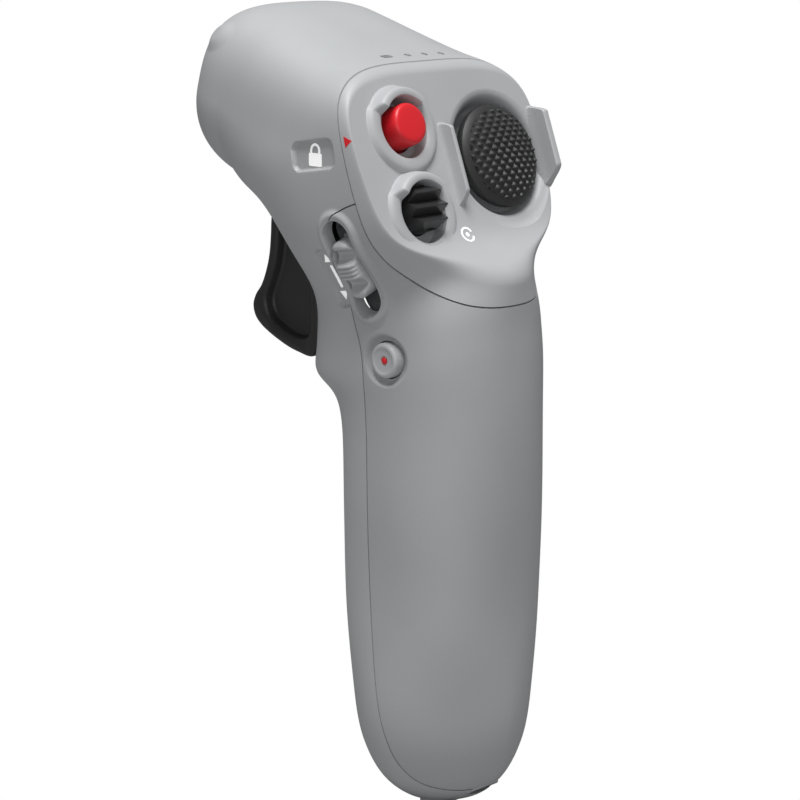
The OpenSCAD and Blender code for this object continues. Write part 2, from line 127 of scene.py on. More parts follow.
def spline(points, n, closed=False):
    """n evenly spaced points along a centripetal Catmull-Rom curve through the given points."""
    steps = 40
    p = np.asarray(points, float)
    if closed:
        q = np.vstack([p[-1], p, p[:2]])
    else:
        q = np.vstack([2 * p[0] - p[1], p, 2 * p[-1] - p[-2]])
    knots = np.concatenate([[0], np.cumsum(np.sqrt(np.linalg.norm(np.diff(q, axis=0), axis=1)))])
    out = []
    for i in range(1, len(q) - 2):
        t0, t1, t2, t3 = knots[i - 1:i + 3]
        t = np.linspace(t1, t2, steps, endpoint=False)[:, None]
        a1 = (t1 - t) / (t1 - t0) * q[i - 1] + (t - t0) / (t1 - t0) * q[i]
        a2 = (t2 - t) / (t2 - t1) * q[i] + (t - t1) / (t2 - t1) * q[i + 1]
        a3 = (t3 - t) / (t3 - t2) * q[i + 1] + (t - t2) / (t3 - t2) * q[i + 2]
        b1 = (t2 - t) / (t2 - t0) * a1 + (t - t0) / (t2 - t0) * a2
        b2 = (t3 - t) / (t3 - t1) * a2 + (t - t1) / (t3 - t1) * a3
        out.append((t2 - t) / (t2 - t1) * b1 + (t - t1) / (t2 - t1) * b2)
    out = np.vstack(out + [p[:1] if closed else p[-1:]])
    length = np.concatenate([[0], np.cumsum(np.linalg.norm(np.diff(out, axis=0), axis=1))])
    at = np.linspace(0, length[-1], n + 1)[:-1] if closed else np.linspace(0, length[-1], n)
    return np.stack([np.interp(at, length, out[:, k]) for k in range(out.shape[1])], 1)


def offset(loop, d, closed=True):
    """A plane line moved by d to its right: outward, if it is a loop that runs anticlockwise."""
    if closed:
        tangent = np.roll(loop, -1, 0) - np.roll(loop, 1, 0)
    else:
        tangent = np.gradient(loop, axis=0)
    tangent /= np.linalg.norm(tangent, axis=1)[:, None]
    return loop + d * np.stack([tangent[:, 1], -tangent[:, 0]], 1)


def anticlockwise(loop):
    """The same plane loop, turned round if it runs clockwise."""
    x, y = loop[:, 0], loop[:, 1]
    area = np.sum(x * np.roll(y, -1) - np.roll(x, -1) * y)
    return loop if area > 0 else loop[::-1]


class Local:
    """A local frame: an origin and three axes."""

    def __init__(self, origin, x, y, z):
        self.o, self.x, self.y, self.z = (np.asarray(v, float) for v in (origin, x, y, z))

    def put(self, p):
        """Points of the local frame in the frame of the part."""
        p = np.asarray(p, float)
        return self.o + p[..., :1] * self.x + p[..., 1:2] * self.y + p[..., 2:3] * self.z

    def of(self, p):
        """The local x, y and z of points in the frame of the part."""
        d = p - self.o
        return d @ self.x, d @ self.y, d @ self.z


def face_frame(u, v):
    """A frame on the thumb face, u to the right and v up from FACE_O."""
    return Local(FACE_O + u * X + v * FACE_V, X, FACE_V, FACE_N)


def left_frame(x, y, z):
    """A frame that looks out of the left side of the body."""
    return Local([x, y, z], -Y, Z, -X)


def right_frame(x, y, z):
    """A frame that looks out of the right side of the body."""
    return Local([x, y, z], Y, Z, X)


def slider_frame():
    """The frame of the slider's slot: z out of the left side, y along the slot."""
    lean, turn = math.radians(20), math.radians(11)
    sa, ca, sb, cb = math.sin(lean), math.cos(lean), math.sin(turn), math.cos(turn)
    return Local([-23.4, 3.7, 116.6], [-sb * sa, -cb, sb * ca], [-cb * sa, sb, cb * ca],
                 [-ca, 0, -sa])


def loft(name, where, loop, profile, angle=32):
    """A solid with the loop moved outward and lifted as sections: profile is [(outward, z), ...]."""
    loop = anticlockwise(np.asarray(loop, float))
    loops = []
    for d, z in profile:
        q = offset(loop, d)
        loops.append(where.put(np.column_stack([q, np.full(len(q), z)])))
    return rings(name, loops, angle)


def lathe(name, where, profile, n=128, angle=32):
    """A turned solid: profile is [(radius, z), ...] from one end of its axis to the other."""
    a = np.linspace(0, 2 * np.pi, n, endpoint=False)
    loops = []
    for r, z in profile:
        r = max(r, TINY)
        loops.append(where.put(np.stack([r * np.cos(a), r * np.sin(a), np.full(n, z)], 1)))
    return rings(name, loops, angle)


def stadium(length, width, n=96):
    """A loop with straight sides and round ends, long in y."""
    r, h = width / 2, (length - width) / 2
    a = np.linspace(0, np.pi, n // 2)
    top = np.stack([r * np.cos(a), h + r * np.sin(a)], 1)
    return np.vstack([top, -top])


def rounded_box(length, width, r, n=10):
    """A rectangle of size length in x and width in y, with corners of radius r."""
    out = []
    for sx, sy, start in ((1, 1, 0), (-1, 1, 90), (-1, -1, 180), (1, -1, 270)):
        for a in np.linspace(start, start + 90, n):
            out.append([sx * (length / 2 - r) + r * math.cos(math.radians(a)),
                        sy * (width / 2 - r) + r * math.sin(math.radians(a))])
    return np.array(out)


def side_prism(name, outline, w=80):
    """An outline in Y and Z drawn through the width."""
    outline = anticlockwise(np.asarray(outline, float))
    loops = [np.column_stack([np.full(len(outline), x), outline]) for x in (-w / 2, w / 2)]
    return rings(name, loops)


# ---- body surface ------------------------------------------------------------------

# Sections from the grip's foot to the nose: y and z at the front, y and z at the back, half
# width, and the exponents of the front and back halves of the superellipse.
STATIONS = np.array([
    [20.5, 24, -19, 24.5, 19.5, 1.8, 1.7],
    [20.5, 45, -18.5, 45, 18.5, 2.5, 2.4],
    [21, 65, -19.5, 65, 19, 2.4, 2.3],
    [22, 85.5, -20, 85, 19, 2.4, 2.2],
    [28.5, 91, -19.5, 97.5, 19.5, 2.6, 2.4],
    [28.5, 97, -19, 106.5, 19.5, 2.5, 2.3],
    [28, 106.5, -19.5, 119.5, 21, 2.4, 1.7],
    [30.5, 116, -21.5, 131, 26, 2.7, 3.7],
    [37, 124, -14.5, 151, 27.5, 2.8, 4.5],
    [42.5, 127.5, 9.5, 157, 26.5, 2.7, 3.8],
    [46, 128, 34.5, 165.5, 25, 2.1, 3.2]])
# Heights of the domes that close the ends, and the powers of their outlines.
BASE_DOME, BASE_POWER = 24.2, 2 / 2.2
NOSE_DOME, NOSE_POWER = 17.5, 2 / 2.5
# The last angle of a dome stops short of 90 degrees, so that its ring has a width.
DOME_END = 88.5
# Where the ledge under the thumb face begins, and how soft its bend and the face's edge are.
LEDGE_V, LEDGE_SOFT, ROUND = 16.3, 3.8, 3.9
# Controls whose place is used more than once.
SLIDER = slider_frame()
SLOT_LONG, SLOT_WIDE = 21.0, 6.4
KEY_Y, KEY_Z = -1, 98.1
DIAL_X, DIAL_Y, DIAL_Z = 18.2, 6, 118
PADLOCK_Y, PADLOCK_Z = 10.4, 139.0
TILT_SIGN_X, TILT_SIGN_Y = -7.0, -1.7
# The pockets with pictograms: their depth and the width of their soft edge.
POCKET_DEPTH, POCKET_EDGE = 0.85, 0.5


def station_rows(per):
    """The table of sections drawn out to per rows for each step, then evened out."""
    p = np.vstack([2 * STATIONS[0] - STATIONS[1], STATIONS, 2 * STATIONS[-1] - STATIONS[-2]])
    t = np.linspace(0, 1, per, endpoint=False)[:, None]
    out = []
    for i in range(len(STATIONS) - 1):
        a, b, c, d = p[i:i + 4]
        out.append(0.5 * (2 * b + (c - a) * t + (2 * a - 5 * b + 4 * c - d) * t ** 2
                          + (3 * b - a - 3 * c + d) * t ** 3))
    out = np.vstack(out + [STATIONS[-1:]])
    k = max(1, per // 5)
    kernel = np.exp(-0.5 * (np.arange(-3 * k, 3 * k + 1) / k) ** 2)
    kernel /= kernel.sum()
    ends = np.vstack([2 * out[0] - out[3 * k:0:-1], out, 2 * out[-1] - out[-2:-3 * k - 2:-1]])
    return np.stack([np.convolve(ends[:, c], kernel, "valid") for c in range(7)], 1)


def face_cut(p, d):
    """Lowers points over the thumb face and its ledge onto them, d deep, with a soft edge."""
    r = p - FACE_O
    w = r @ FACE_N
    x = LEDGE_V - r @ FACE_V
    h = w - (x + np.sqrt(x * x + LEDGE_SOFT ** 2)) / 2 + d
    blend = h - (h + ROUND) ** 2 / (4 * ROUND)
    k = np.where(h > ROUND, 0, np.where(h < -ROUND, h, blend))
    return p + (k - h)[..., None] * FACE_N


def section(row, s, shift, m):
    """m evenly spaced points round one section, scaled by s and shifted in y and z."""
    fine = 4096
    a = np.linspace(0, 2 * np.pi, fine, endpoint=False)
    n = np.where(np.sin(a) >= 0, row[6], row[5])
    x = row[4] * np.sign(np.cos(a)) * np.abs(np.cos(a)) ** (2 / n) * s
    t = np.sign(np.sin(a)) * np.abs(np.sin(a)) ** (2 / n) * s
    q = np.column_stack([x, (row[0] + row[2]) / 2 + (row[2] - row[0]) / 2 * t + shift[0],
                         (row[1] + row[3]) / 2 + (row[3] - row[1]) / 2 * t + shift[1]])
    q = np.vstack([q, q[:1]])
    length = np.concatenate([[0], np.cumsum(np.linalg.norm(np.diff(q, axis=0), axis=1))])
    at = np.linspace(0, length[-1], m + 1)[:-1]
    return np.stack([np.interp(at, length, q[:, c]) for c in range(3)], 1)


def body_grid(per, dome, m, d=0.0):
    """Rings of m points over the body, d under its surface: per for each step of the table
    and dome for each end."""
    rows = station_rows(per)
    dy, dz = rows[:, 2] - rows[:, 0], rows[:, 3] - rows[:, 1]
    length = np.hypot(dy, dz)
    rows[:, 0] += d * dy / length
    rows[:, 1] += d * dz / length
    rows[:, 2] -= d * dy / length
    rows[:, 3] -= d * dz / length
    rows[:, 4] -= d
    out = []
    for a in np.radians(np.linspace(DOME_END, 0, dome, endpoint=False)):
        out.append(section(rows[0], math.cos(a) ** BASE_POWER,
                           [0, -(BASE_DOME - d) * math.sin(a) ** BASE_POWER], m))
    out += [section(r, 1, [0, 0], m) for r in rows]
    last = rows[-1]
    ly, lz = last[2] - last[0], last[3] - last[1]
    ll = math.hypot(ly, lz)
    for a in np.radians(np.linspace(0, DOME_END, dome + 1)[1:]):
        f = (NOSE_DOME - d) * math.sin(a) ** NOSE_POWER
        out.append(section(last, math.cos(a) ** NOSE_POWER, [f * lz / ll, -f * ly / ll], m))
    return soften(face_cut(np.array(out), d), dome, per // 2)


def soften(g, at, reach):
    """Evens out the bend of the surface round ring number at."""
    k = np.arange(-reach, reach + 1)
    kernel = np.exp(-0.5 * (k / (reach / 2.5)) ** 2)
    kernel /= kernel.sum()
    out = g.copy()
    for i in range(max(reach, at - 2 * reach), at + 2 * reach):
        share = float(smooth(2 - abs(i - at) / reach))
        out[i] = g[i] * (1 - share) + share * np.tensordot(kernel, g[i - reach:i + reach + 1], 1)
    return out


def grid_normals(g):
    """Normals of a closed grid, pointing out of the body."""
    along = np.gradient(g, axis=0)
    across = np.roll(g, -1, 1) - np.roll(g, 1, 1)
    n = np.cross(across, along)
    n /= np.linalg.norm(n, axis=-1)[..., None] + 1e-12
    centre = np.array([0, 2, 90])
    return n if np.median(np.einsum("ijk,ijk->ij", n, g - centre)) > 0 else -n


def box_distance(x, y, lx, ly, r):
    """Distance to a rounded rectangle of size lx by ly: negative inside."""
    qx, qy = np.abs(x) - lx / 2 + r, np.abs(y) - ly / 2 + r
    return np.hypot(np.maximum(qx, 0), np.maximum(qy, 0)) + np.minimum(np.maximum(qx, qy), 0) - r


def pocket_depth(d):
    """How deep a pocket is at distance d from its edge, negative inside."""
    return POCKET_DEPTH * smooth((POCKET_EDGE / 2 - d) / POCKET_EDGE)


def relief(g):
    """How far each point of the body stands out of the plain surface, or sinks if negative."""
    out = np.zeros(g.shape[:2])
    left = g[..., 0] < -8
    # pocket with the padlock
    a = math.radians(9)
    y, z = g[..., 1] - PADLOCK_Y, g[..., 2] - PADLOCK_Z
    px, pz = y * math.cos(a) - z * math.sin(a), y * math.sin(a) + z * math.cos(a)
    d = box_distance(px, pz, 11.6, 5.6, 1.6)
    out -= np.where(left, pocket_depth(d), 0)
    # pocket with the tilt pictogram, beside the slider
    x, y, z = SLIDER.of(g)
    d = box_distance(x - TILT_SIGN_X, y - TILT_SIGN_Y, 3.5, 13.0, 1.5)
    out -= np.where(left, pocket_depth(d), 0)
    # raised rim round the slot of the slider
    d = box_distance(x, y, SLOT_WIDE, SLOT_LONG, SLOT_WIDE / 2)
    rim = 0.75 * smooth((2.3 - d) / 1.3) * (1 - 0.35 * smooth((0.9 - d) / 0.9))
    out += np.where(left & (z > -8), rim, 0)
    # dished recess round the record and power buttons
    for side in (left, g[..., 0] > 8):
        r = np.hypot(g[..., 1] - KEY_Y, g[..., 2] - KEY_Z)
        out -= np.where(side, 1.3 * smooth((5.6 - r) / 1.5), 0)
    # low swelling on the upper left of the nose
    q = np.linalg.norm((g - np.array([-21.6, 44.2, 160.8])) * [1, 0.8, 1], axis=-1)
    out += 0.6 * smooth((4.2 - q) / 3.0)
    return out


# Rings for each step of the table, rings of a dome, and points of a ring.
DETAIL = ((52, 90, 680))
HIDDEN_DETAIL = (8, 16, 120)
CUTTER_DETAIL = (8, 16, 160)
WALL = 2.0
grid = body_grid(*DETAIL)
grid = grid + relief(grid)[..., None] * grid_normals(grid)
outer = rings("outer", grid)
boolean(outer, rings("inner", body_grid(*HIDDEN_DETAIL, WALL)))

# The joint lines between the shells, in y and z.
PANEL = spline([[-24, 108.4], [-18, 109.2], [-13, 111], [-8, 113.8], [-5, 117], [-3.3, 121.5],
                [1, 136.5], [3.2, 145], [5, 152], [6.2, 155.6], [7.5, 162]], 160)
REAR = spline([[-18, 5.4], [-14, 5.5], [-9, 6], [-5, 8], [-2.2, 12], [-0.3, 18], [1.9, 28],
               [4, 45], [4.4, 68], [4.6, 85], [5, 97.5], [7.2, 107.5], [7.9, 117],
               [7.5, 123.3], [6.2, 126.6], [3.9, 128.4], [-0.4, 130.2], [-6, 131.6]], 260)
# Half width and depth of the groove seen between two shells, and half the gap left under it.
SEAM, SEAM_DEPTH, FIT = 0.15, 1.1, 0.02
# The groove round the thumb panel is a little wider.
PANEL_SEAM = SEAM + 0.03


def panel_prism(d):
    """All that lies behind the joint line of the thumb panel, moved by d."""
    corners = [[-40, 162], [-40, 108.4]]
    return side_prism("panel_prism", np.vstack([offset(PANEL, d, False), corners]))


def rear_prism(d):
    """All that lies behind the joint line of the rear grip shell, moved by d."""
    corners = [[-40, 131.6], [-40, 5.4]]
    return side_prism("rear_prism", np.vstack([offset(REAR, d, False), corners]))


def copy_of(ob, name):
    """A second object with its own copy of the mesh."""
    new = bpy.data.objects.new(name, ob.data.copy())
    bpy.context.scene.collection.objects.link(new)
    return new


panel = copy_of(outer, "thumb_panel")
rear = copy_of(outer, "rear_grip")
front = outer
front.name = "front_body"
boolean(panel, panel_prism(-FIT), "INTERSECT")
boolean(rear, rear_prism(-FIT), "INTERSECT")
boolean(rear, panel_prism(FIT))
boolean(front, rear_prism(FIT))
boolean(front, panel_prism(FIT))
core = rings("core", body_grid(*CUTTER_DETAIL, SEAM_DEPTH))


def groove(prism, half):
    """The line seen between two shells, down to SEAM_DEPTH; under it they meet closely."""
    band = prism(half)
    boolean(band, prism(-half))
    return boolean(band, core, drop=False)


for shell in (front, rear, panel):
    boolean(shell, groove(panel_prism, PANEL_SEAM))
for shell in (front, rear):
    boolean(shell, groove(rear_prism, SEAM))
bpy.data.objects.remove(core)

# holes for the side controls, cut alike in the shells that they cross
for shell in (front, rear):
    boolean(shell, loft("slot_cut", SLIDER, stadium(SLOT_LONG, SLOT_WIDE),
                        [(0, -6), (0, -0.2), (0.45, 0.9), (0.45, 6)]))
    for where in (left_frame(0, KEY_Y, KEY_Z), right_frame(0, KEY_Y, KEY_Z)):
        boolean(shell, lathe("button_cut", where, [(0, 8), (3.9, 8), (3.9, 26), (0, 26)]))
    boolean(shell, loft("dial_cut", right_frame(0, DIAL_Y, DIAL_Z), rounded_box(13.2, 6.4, 1.2),
                        [(0, 12), (0, 34)]))
TRIGGER_SLOT = [[14, 87], [33, 87], [58, 95], [58, 121], [46.6, 128], [46.6, 134], [30, 134],
                [14, 112]]
boolean(front, side_prism("trigger_cut", TRIGGER_SLOT, 15.4))
boolean(front, loft("port_cut", Local([0, 0, 0], Y, -X, Z), stadium(13.2, 7.2),
                    [(0, -2), (0, 8)]))
# The light windows: centre in x and y, and half sizes in x and y.
LIGHTS = [(-7.0, 9.8, 1.5, 0.75), (-1.1, 9.6, 0.75, 0.75), (3.7, 9.5, 0.75, 0.75),
          (8.4, 9.3, 0.75, 0.75)]
for lx, ly, ra, rb in LIGHTS:
    boolean(front, loft("light_cut", Local([lx, ly, 150], X, Y, Z),
                        stadium(2 * ra + TINY / 2, 2 * rb)[:, ::-1], [(0, 0), (0, 12)]))
for shell in (front, rear):
    boolean(shell, loft("strap_cut", Local([0, 0, 5.0], X, Z, -Y), rounded_box(8, 2.4, 1.1),
                        [(0, 8), (0, 22)]))

# ---- features of the thumb panel ---------------------------------------------------

LOCK = face_frame(-12.5, 41.2)
MODE = face_frame(-13.1, 24.3)
STICK = face_frame(13.2, 33.1)

CLIP_DEPTH = 0.6
plain = rings("plain", body_grid(*CUTTER_DETAIL, CLIP_DEPTH))


def collar(name, where):
    """A soft ring with a hood over the top of the button, as one closed solid."""
    low = np.array([[10.5, -1.2], [10.1, -0.3], [9.8, -0.05], [9.45, 0.12], [9.15, 0.4],
                    [8.9, 0.75], [8.6, 1.02], [8.2, 1.18], [7.6, 1.22], [6.9, 1.2], [6.4, 1.1],
                    [6.12, 0.85], [6.03, 0.2], [6.0, -1.0], [5.98, -2.2], [5.98, -3.2], [7, -3.6],
                    [10.2, -3.6]])
    high = np.array([[10.2, -1.2], [9.6, -0.3], [9.2, -0.02], [8.9, 0.2], [8.65, 0.6],
                     [8.45, 1.1], [8.3, 1.7], [8.1, 2.35], [7.85, 2.85], [7.5, 3.08], [6.7, 3.12],
                     [6.35, 3.0], [6.2, 2.7], [6.1, 0.5], [6.02, -1.5], [5.98, -3.2], [7, -3.6],
                     [10.2, -3.6]])
    n = 360
    ang = np.linspace(0, 360, n, endpoint=False)
    # the hood stands from about 40 to 152 degrees, with one steep and one gentle end
    s = smooth((ang - 40.2) / 1.6) * smooth((152 - ang) / 13.0)
    prof = low[None] * (1 - s)[:, None, None] + high[None] * s[:, None, None]
    a = np.radians(ang)[:, None]
    pts = np.stack([prof[..., 0] * np.cos(a), prof[..., 0] * np.sin(a), prof[..., 1]], -1)
    k = pts.shape[1]
    faces = []
    for i in range(n):
        for j in range(k):
            here, there, up = i * k, ((i + 1) % n) * k, (j + 1) % k
            faces.append([here + j, here + up, there + up, there + j])
    return outward(make(name, where.put(pts).reshape(-1, 3), faces, 50))


def wall(name, u, v0, v1, h, thick, draft, rise0, rise1, depth, fillet=0.5):
    """A thin wall standing on the face, with sloping ends and a fillet along its foot."""
    v = np.concatenate([np.linspace(v0, v0 + 0.4, 4), np.linspace(v0 + 0.4, v1 - 0.4, 90)[1:-1],
                        np.linspace(v1 - 0.4, v1, 4)])
    top = h * smooth((v - v0) / rise0) ** 0.8 * smooth((v1 - v) / rise1) ** 0.8
    side = np.array([0, 0.3, 0.42, 0.5, 0.58, 0.66, 0.75, 0.84, 0.92, 0.97])
    loops = []
    for vi, ti in zip(v, top):
        edge = min(1.0, 0.35 + min(vi - v0, v1 - vi) / 1.2)
        pts = []
        for sign in (1, -1):
            zs = -depth + side * (ti + depth)
            half = (thick / 2 + draft * np.maximum(h - zs, 0)) * edge
            half = half + fillet * np.exp(-np.maximum(zs, 0) / 0.45)
            line = [[sign * across, up] for across, up in zip(half, zs)]
            line.append([sign * (thick / 2 * 0.62) * edge, ti])
            pts += line if sign == 1 else line[::-1]
        loops.append(face_frame(u, vi).put(np.array([[p[0], 0, p[1]] for p in pts])))
    return rings(name, loops, 50)


LOCK_RING = face_frame(-12.8, 40.7)
MODE_RING = face_frame(-13.3, 23.4)
for name, where, key in (("lock_collar", LOCK_RING, LOCK), ("mode_collar", MODE_RING, MODE)):
    boolean(panel, lathe("pit", where, [(0, -9), (6.8, -9), (6.8, 6), (0, 6)], 96))
    boolean(panel, collar(name, where), "UNION")
    floor = lathe("pit_floor", where, [(0, -3.4), (7.4, -3.4), (7.4, -2.4), (0, -2.4)], 96)
    boolean(floor, lathe("hole", key, [(0, -5), (4.85, -5), (4.85, 0), (0, 0)], 96))
    boolean(panel, floor, "UNION")
# The cup of the joystick is kept CLIP_DEPTH inside the body, so that it never shows outside.
cup = lathe("cup", STICK, [(0, -7.3), (14.6, -7.3), (14.6, 0.4), (0, 0.4)], 160)
boolean(cup, plain, "INTERSECT")
boolean(panel, cup, "UNION")
boolean(panel, lathe("dish", STICK, [(0, -3.6), (10.6, -3.6), (11.1, -3.4), (11.4, -2.9),
                                     (11.8, -2.1), (12.2, -1.35), (12.55, -0.75), (12.9, -0.35),
                                     (13.3, -0.1), (13.8, 0.03), (14.8, 0.3), (15.6, 1.0),
                                     (15.6, 9), (0, 9)], 200))
boolean(panel, lathe("well", STICK, [(0, -9), (8.5, -9), (8.5, 0), (0, 0)], 128))
fin = wall("fin", u=-1.5, v0=23.3, v1=41.4, h=3.1, thick=1.0, draft=0.09, rise0=3.4, rise1=2.0,
           depth=1.2)
boolean(panel, fin, "UNION", angle=40)
guard = wall("guard", u=26.2, v0=25.2, v1=42.9, h=4.4, thick=1.6, draft=0.05, rise0=4.0,
             rise1=2.6, depth=5.5, fillet=0.35)
boolean(panel, guard, "UNION", angle=40)

# ---- thumb buttons and joystick ------------------------------------------------------

lock = lathe("lock_key", LOCK, [(0, -5), (5.2, -5), (5.2, -4.3), (4.3, -4.3), (4.32, 0),
                                (4.28, 2.1), (4.15, 2.55), (3.9, 2.85), (3.55, 3.0), (2.8, 3.06),
                                (1.4, 3.1), (0, 3.12)], 128, 50)
mode = lathe("mode_key", MODE, [(0, -5), (5.5, -5), (5.5, -4.3), (4.6, -4.3), (4.6, 3.4),
                                (0, 3.4)], 128)


def saw_cut(where, pitch, depth, top, count):
    """Grooves across the top of a button, as one solid to cut away."""
    flat = 0.12
    line = []
    for i in range(-count, count + 1):
        line.append([(i - 0.5) * pitch, top - depth])
        line.append([i * pitch - flat, top])
        line.append([i * pitch + flat, top])
    line.append([(count + 0.5) * pitch, top - depth])
    line = [[line[0][0], 9]] + line + [[line[-1][0], 9]]
    loops = [where.put(np.array([[x, p[0], p[1]] for p in line])) for x in (-8, 8)]
    return rings("saw", loops)


boolean(mode, saw_cut(MODE, pitch=2.9, depth=2.0, top=3.2, count=3), angle=20)

cap = lathe("stick_cap", STICK, [(0, -1.9), (9.6, -1.9), (10.4, -1.6), (10.75, -1.0),
                                 (10.85, -0.2), (10.72, 0.4), (10.3, 0.75), (9.7, 1.1), (8.5, 1.6),
                                 (6.5, 2.15), (4, 2.55), (2, 2.7), (0, 2.75)], 192, 50)


def knurl():
    """The field of small pyramids on the joystick, turned by 45 degrees."""
    pitch, sub, height, radius = 1.62, 6, 1.15, 10.4
    n = 14 * sub
    g = (np.arange(n + 1) - n / 2) * pitch / sub
    a, b = np.meshgrid(g, g, indexing="ij")
    r = np.hypot(a, b)
    base = 2.75 - 0.0185 * r ** 2 - 0.00001 * r ** 4
    fa = np.abs(a / pitch - np.round(a / pitch))
    fb = np.abs(b / pitch - np.round(b / pitch))
    top = base - 0.15 + height * (1 - 2 * np.maximum(fa, fb)) * (r < radius)
    c = math.sqrt(0.5)
    x, y = (a - b) * c, (a + b) * c
    up = np.stack([x, y, top], -1).reshape(-1, 3)
    down = np.stack([x, y, np.full_like(x, -0.8)], -1).reshape(-1, 3)
    m = n + 1
    faces = []
    for i in range(n):
        for j in range(n):
            q = [i * m + j, (i + 1) * m + j, (i + 1) * m + j + 1, i * m + j + 1]
            faces.append(q)
            faces.append([k + m * m for k in q[::-1]])
    edge = [i * m for i in range(m)] + [n * m + j for j in range(1, m)]
    edge += [i * m + n for i in range(n - 1, -1, -1)] + [j for j in range(n - 1, 0, -1)]
    for k in range(len(edge)):
        p, q = edge[k], edge[(k + 1) % len(edge)]
        faces.append([q, p, p + m * m, q + m * m])
    return outward(make("knurl", STICK.put(np.vstack([up, down])), faces, 20))


field = knurl()
boolean(field, lathe("trim", STICK, [(0, -0.5), (9.4, -0.5), (9.4, 6), (0, 6)], 192),
        "INTERSECT", angle=20)
boolean(cap, field, "UNION", angle=20)

# ---- trigger --------------------------------------------------------------------------

TRIGGER = spline([[33.4, 127.8], [38.5, 128.0], [43.4, 127.4], [44.9, 122], [45.3, 117.4],
                  [45.8, 113.5], [46.8, 110], [48.4, 106.5], [50.4, 103.9], [51.2, 101.7],
                  [50.6, 99.3], [48.4, 97.2], [41.4, 94], [36.8, 92.8], [33, 92.5], [31.3, 95],
                  [31, 104], [31.5, 114], [32.4, 122]], 320, True)
side = right_frame(0, 0, 0)
trigger = loft("trigger_body", side, TRIGGER,
               [(-0.9, -7), (-0.45, -6.93), (-0.15, -6.7), (0, -6.2), (0, 6.2), (-0.15, 6.7),
                (-0.45, 6.93), (-0.9, 7)], 50)
POCKET = spline([[35, 124.6], [38.4, 125.2], [41.6, 124], [42.4, 119], [42.9, 114.6],
                 [43.9, 110.4], [45.4, 106.9], [46.8, 103.4], [45.6, 99.8], [42, 97.6],
                 [37.5, 96.4], [34.4, 97.2], [33.7, 104], [34, 114]], 240, True)
for s in (-1, 1):
    pocket = loft("trigger_pocket", side, POCKET,
                  [(-0.7, s * 4.6), (-0.25, s * 4.75), (0.05, s * 5.2), (0.3, s * 6.2), (0.7, s * 6.75),
                   (1.2, s * 7.02), (1.3, s * 9)])
    boolean(trigger, pocket, angle=50)
# ribs across the finger side
RIBS = 6
for i in range(RIBS):
    t = i / (RIBS - 1)
    place = [0, 45.9 + 4.3 * t ** 1.25, 112.4 - 9.4 * t]
    where = Local(place, [0.0, 0.53, -0.85], [0, 0.85, 0.53], X)
    boolean(trigger, loft("rib", where, stadium(1.5, 0.9, 24),
                          [(-0.2, -5.6), (0, -5.3), (0, 5.3), (-0.2, 5.6)]), "UNION", angle=50)
# the arm up to the pin, and the bore for the pin
PIN = right_frame(0, 37, 133)
stem = loft("trigger_stem", side, [[33.8, 126], [42.6, 126], [40.2, 133], [33.8, 133]],
            [(0, -4), (0, 7)])
boolean(trigger, stem, "UNION", angle=50)
boolean(trigger, lathe("trigger_boss", PIN, [(0, -4), (3.2, -4), (3.2, 7), (0, 7)], 64),
        "UNION", angle=50)
boolean(trigger, lathe("trigger_bore", PIN, [(0, -9), (1.55, -9), (1.55, 12), (0, 12)], 64),
        angle=50)

# ---- side controls ----------------------------------------------------------------------


def slider_knob():
    """The sliding key: two lobes with a scoop each side of a ribbed ridge."""
    n, m = 150, 48
    y = np.linspace(-6.3, 6.3, n)
    ay = np.abs(y)
    half = np.sqrt(np.maximum(2.8 ** 2 - np.maximum(ay - 3.5, 0) ** 2, 0)) + TINY
    ridge = 1.55 * smooth((2.3 - ay) / 1.0)
    scoop = 1.25 * np.exp(-((ay - 3.35) / 1.0) ** 2)
    end = 0.75 * smooth((ay - 3.6) / 1.5)
    groove = sum(0.42 * np.exp(-((y - c) / 0.17) ** 2) for c in (-0.85, 0.0, 0.85))
    top = 0.55 + ridge + end - scoop - groove
    t = np.linspace(-1, 1, m)
    crown = 1 - 0.5 * np.abs(t) ** 4
    edge = np.minimum(1, (1 - np.abs(t)) / 0.08)
    loops = []
    for yi, hi, zi in zip(y, half, top):
        drop = 0.9 * max(0.0, (abs(yi) - 5.2) / 1.1) ** 2
        z = (zi - drop) * crown - (1 - smooth(edge)) * 0.5
        up = np.stack([hi * t, np.full(m, yi), z], 1)
        down = np.array([[hi, yi, -4.4], [-hi, yi, -4.4]])
        loops.append(SLIDER.put(np.vstack([up, down])))
    return rings("tilt_key", loops, 40)


knob = slider_knob()
plate = loft("tilt_plate", SLIDER, rounded_box(7.2, 12, 0.6), [(0, -5.2), (0, -4.3)])
boolean(knob, plate, "UNION", angle=40)
# an open tray under the slot, so that the slot has a floor
TRAY_SHIFT = [0, 1.6]
liner = loft("slot_tray", SLIDER, rounded_box(11, 21.5, 3) - TRAY_SHIFT, [(0, -7.6), (0, -4.6)])
boolean(liner, loft("tray_cut", SLIDER, rounded_box(9.8, 20.3, 2.4) - TRAY_SHIFT,
                    [(0, -6.4), (0, -2)]))

